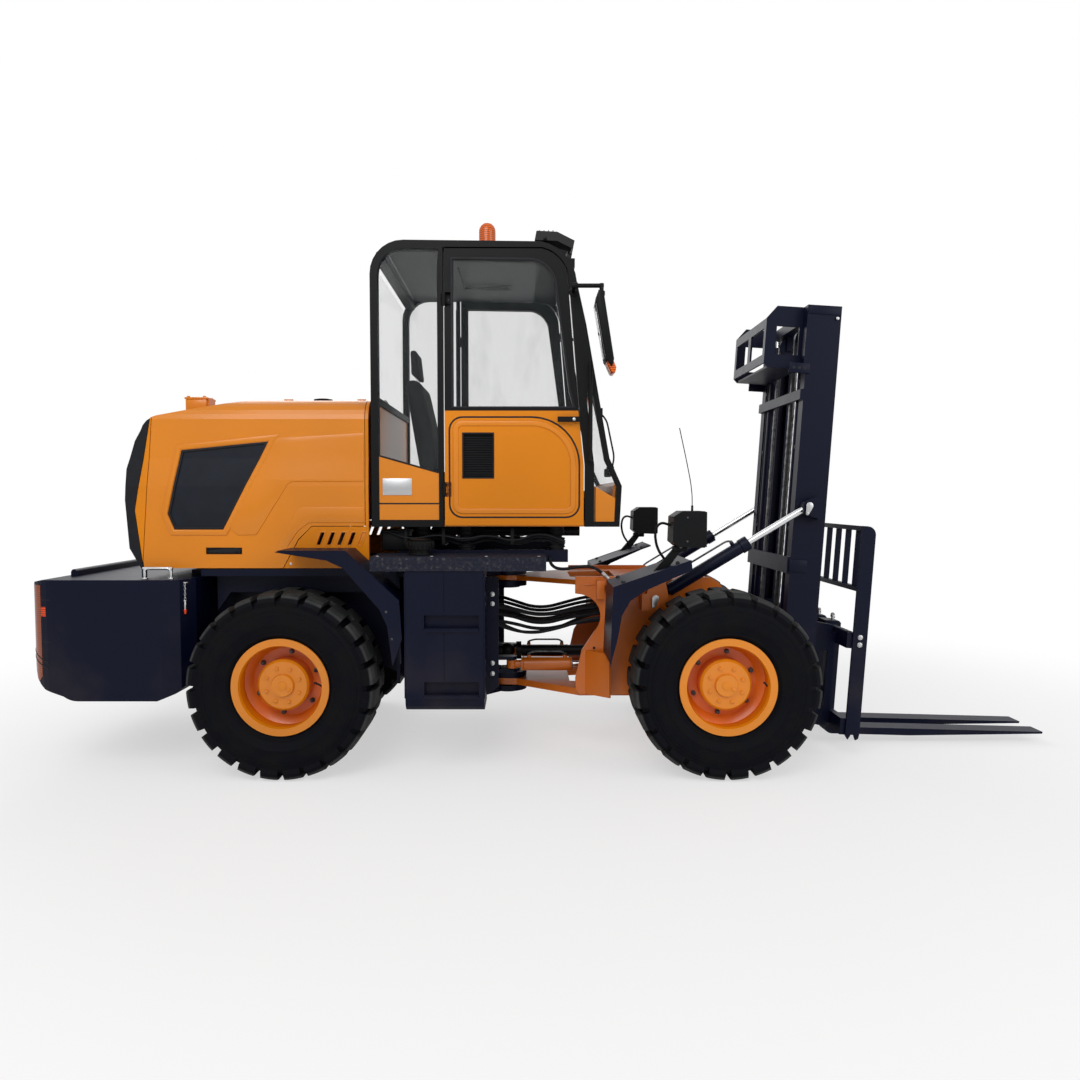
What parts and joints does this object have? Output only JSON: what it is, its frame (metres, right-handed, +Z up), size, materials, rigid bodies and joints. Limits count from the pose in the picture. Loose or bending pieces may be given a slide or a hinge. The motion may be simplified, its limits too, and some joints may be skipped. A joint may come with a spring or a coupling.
{
  "type": "articulated rough terrain forklift",
  "caption": "Centre-pivot rough terrain forklift with cab, rear engine hood, counterweight, lugged tyres and a two-stage mast with forks.",
  "frame": {"origin": "On the ground, in the middle of the machine from the counterweight to the fork tips and from side to side.", "axes": "+X forward towards the fork tips, +Y to the machine's left, +Z up."},
  "size_m": [6.16, 1.89, 3.195],
  "materials": {
    "navy_paint": "semi-gloss dark navy paint",
    "frame_paint": "semi-gloss orange paint",
    "body_paint": "glossy amber-orange paint",
    "black_paint": "satin black paint",
    "dark_moulding": "matt dark moulding",
    "seat_cover": "black woven cover",
    "engine_metal": "bare grey casting",
    "tinted_glass": "lightly tinted glass",
    "lamp_lens": "amber and red lens",
    "beacon": "orange lens on a black base",
    "tyre_rubber": "matt black tyre rubber",
    "rod_chrome": "polished chrome",
    "chain_steel": "oiled dark steel",
    "hose_rubber": "black hose rubber"
  },
  "bodies": {
    "rear_body": {"rear_frame": "navy_paint", "counterweight": "navy_paint", "rear_lamps": "lamp_lens", "rear_axle": "frame_paint", "engine": "engine_metal", "rear_shaft": "black_paint", "hood_shell": "body_paint", "rear_grille": "dark_moulding", "tanks": "navy_paint", "decks": "navy_paint", "rear_fenders": "navy_paint", "cab_frame": "black_paint", "cab_panels": "body_paint", "cab_roof": "black_paint", "cab_glass": "tinted_glass", "cab_mounts": "black_paint", "seat": "seat_cover", "steering_column": "dark_moulding", "mirrors": "black_paint", "cab_lamps": "beacon", "hoses": "hose_rubber"},
    "front_body": {"front_frame": "frame_paint", "front_axle": "frame_paint", "front_shaft": "black_paint", "front_fenders": "navy_paint", "headlamps": "black_paint"},
    "mast": {"outer_mast": "navy_paint", "lift_barrels": "navy_paint"},
    "mast_inner": {"inner_mast": "navy_paint", "lift_rods": "rod_chrome", "mast_chains": "chain_steel"},
    "fork_carriage": {"carriage": "navy_paint"},
    "right_fork": {"fork_right": "navy_paint"},
    "left_fork": {"fork_left": "navy_paint"},
    "hood_side_right": {"hood_door_right": "body_paint", "hood_vent_right": "dark_moulding"},
    "door_right": {"cab_door_right": "body_paint", "door_glass_right": "tinted_glass"},
    "tilt_cylinder_right": {"tilt_barrel_right": "navy_paint"},
    "tilt_piston_right": {"tilt_rod_right": "rod_chrome"},
    "steering_cylinder_right": {"steer_barrel_right": "frame_paint"},
    "steering_piston_right": {"steer_rod_right": "rod_chrome"},
    "hood_side_left": {"hood_door_left": "body_paint", "hood_vent_left": "dark_moulding"},
    "door_left": {"cab_door_left": "body_paint", "door_glass_left": "tinted_glass"},
    "tilt_cylinder_left": {"tilt_barrel_left": "navy_paint"},
    "tilt_piston_left": {"tilt_rod_left": "rod_chrome"},
    "steering_cylinder_left": {"steer_barrel_left": "frame_paint"},
    "steering_piston_left": {"steer_rod_left": "rod_chrome"},
    "wheel_rear_right": {"tyre_rear_right": "tyre_rubber", "rim_rear_right": "body_paint"},
    "wheel_rear_left": {"tyre_rear_left": "tyre_rubber", "rim_rear_left": "body_paint"},
    "wheel_front_right": {"tyre_front_right": "tyre_rubber", "rim_front_right": "body_paint"},
    "wheel_front_left": {"tyre_front_left": "tyre_rubber", "rim_front_left": "body_paint"}
  },
  "joints": [
    {"name": "articulation", "type": "hinge", "parent": "rear_body", "child": "front_body", "pos_m": [-0.36, 0, 0.7], "axis": [0, 0, 1], "range_deg": [-35, 35], "deforming": ["hoses"]},
    {"name": "rear_right_wheel_spin", "type": "hinge", "parent": "rear_body", "child": "wheel_rear_right", "pos_m": [-1.6, -0.745, 0.525], "axis": [0, 1, 0], "continuous": true},
    {"name": "rear_left_wheel_spin", "type": "hinge", "parent": "rear_body", "child": "wheel_rear_left", "pos_m": [-1.6, 0.745, 0.525], "axis": [0, 1, 0], "continuous": true},
    {"name": "front_right_wheel_spin", "type": "hinge", "parent": "front_body", "child": "wheel_front_right", "pos_m": [0.88, -0.745, 0.525], "axis": [0, 1, 0], "continuous": true},
    {"name": "front_left_wheel_spin", "type": "hinge", "parent": "front_body", "child": "wheel_front_left", "pos_m": [0.88, 0.745, 0.525], "axis": [0, 1, 0], "continuous": true},
    {"name": "mast_tilt", "type": "hinge", "parent": "front_body", "child": "mast", "pos_m": [1.25, 0, 0.48], "axis": [0, 1, 0], "range_deg": [-13, 7]},
    {"name": "mast_lift", "type": "slide", "parent": "mast", "child": "mast_inner", "axis": [0.061, 0, 0.9981], "range_m": [0, 1.5]},
    {"name": "carriage_lift", "type": "slide", "parent": "mast_inner", "child": "fork_carriage", "axis": [0.061, 0, 0.9981], "range_m": [0, 1.5]},
    {"name": "right_fork_shift", "type": "slide", "parent": "fork_carriage", "child": "right_fork", "axis": [0, -1, 0], "range_m": [0, 0.32]},
    {"name": "left_fork_shift", "type": "slide", "parent": "fork_carriage", "child": "left_fork", "axis": [0, 1, 0], "range_m": [0, 0.32]},
    {"name": "right_hood_door", "type": "hinge", "parent": "rear_body", "child": "hood_side_right", "pos_m": [-1.8, -0.302, 2.168], "axis": [-1, 0, 0], "range_deg": [0, 55]},
    {"name": "right_cab_door", "type": "hinge", "parent": "rear_body", "child": "door_right", "pos_m": [-0.711, -0.656, 2.1], "axis": [0, 0, -1], "range_deg": [0, 80]},
    {"name": "right_tilt_pivot", "type": "hinge", "parent": "front_body", "child": "tilt_cylinder_right", "pos_m": [0.536, -0.475, 0.966], "axis": [0, 1, 0], "range_deg": [-10, 6]},
    {"name": "right_tilt_stroke", "type": "slide", "parent": "tilt_cylinder_right", "child": "tilt_piston_right", "axis": [0.8545, 0, 0.5195], "range_m": [-0.2, 0.11]},
    {"name": "right_steer_pivot", "type": "hinge", "parent": "rear_body", "child": "steering_cylinder_right", "pos_m": [-0.33, -0.225, 0.52], "axis": [0, 0, 1], "range_deg": [-39, 39]},
    {"name": "right_steer_stroke", "type": "slide", "parent": "steering_cylinder_right", "child": "steering_piston_right", "axis": [1, 0, 0], "range_m": [-0.13, 0.13]},
    {"name": "left_hood_door", "type": "hinge", "parent": "rear_body", "child": "hood_side_left", "pos_m": [-1.8, 0.302, 2.168], "axis": [1, 0, 0], "range_deg": [0, 55]},
    {"name": "left_cab_door", "type": "hinge", "parent": "rear_body", "child": "door_left", "pos_m": [-0.711, 0.656, 2.1], "axis": [0, 0, 1], "range_deg": [0, 80]},
    {"name": "left_tilt_pivot", "type": "hinge", "parent": "front_body", "child": "tilt_cylinder_left", "pos_m": [0.536, 0.475, 0.966], "axis": [0, 1, 0], "range_deg": [-10, 6]},
    {"name": "left_tilt_stroke", "type": "slide", "parent": "tilt_cylinder_left", "child": "tilt_piston_left", "axis": [0.8545, 0, 0.5195], "range_m": [-0.2, 0.11]},
    {"name": "left_steer_pivot", "type": "hinge", "parent": "rear_body", "child": "steering_cylinder_left", "pos_m": [-0.33, 0.225, 0.52], "axis": [0, 0, 1], "range_deg": [-39, 39]},
    {"name": "left_steer_stroke", "type": "slide", "parent": "steering_cylinder_left", "child": "steering_piston_left", "axis": [1, 0, 0], "range_m": [-0.13, 0.13]}
  ],
  "couplings": [
    {"joint": "carriage_lift", "follows": "mast_lift", "ratio": 1},
    {"joint": "right_tilt_pivot", "follows": "mast_tilt", "ratio": 0.68},
    {"joint": "right_tilt_stroke", "follows": "mast_tilt", "m_per_rad": 0.795},
    {"joint": "right_steer_pivot", "follows": "articulation", "ratio": 1.08},
    {"joint": "right_steer_stroke", "follows": "articulation", "m_per_rad": 0.2033},
    {"joint": "left_tilt_pivot", "follows": "mast_tilt", "ratio": 0.68},
    {"joint": "left_tilt_stroke", "follows": "mast_tilt", "m_per_rad": 0.795},
    {"joint": "left_steer_pivot", "follows": "articulation", "ratio": 1.08},
    {"joint": "left_steer_stroke", "follows": "articulation", "m_per_rad": -0.2033}
  ]
}
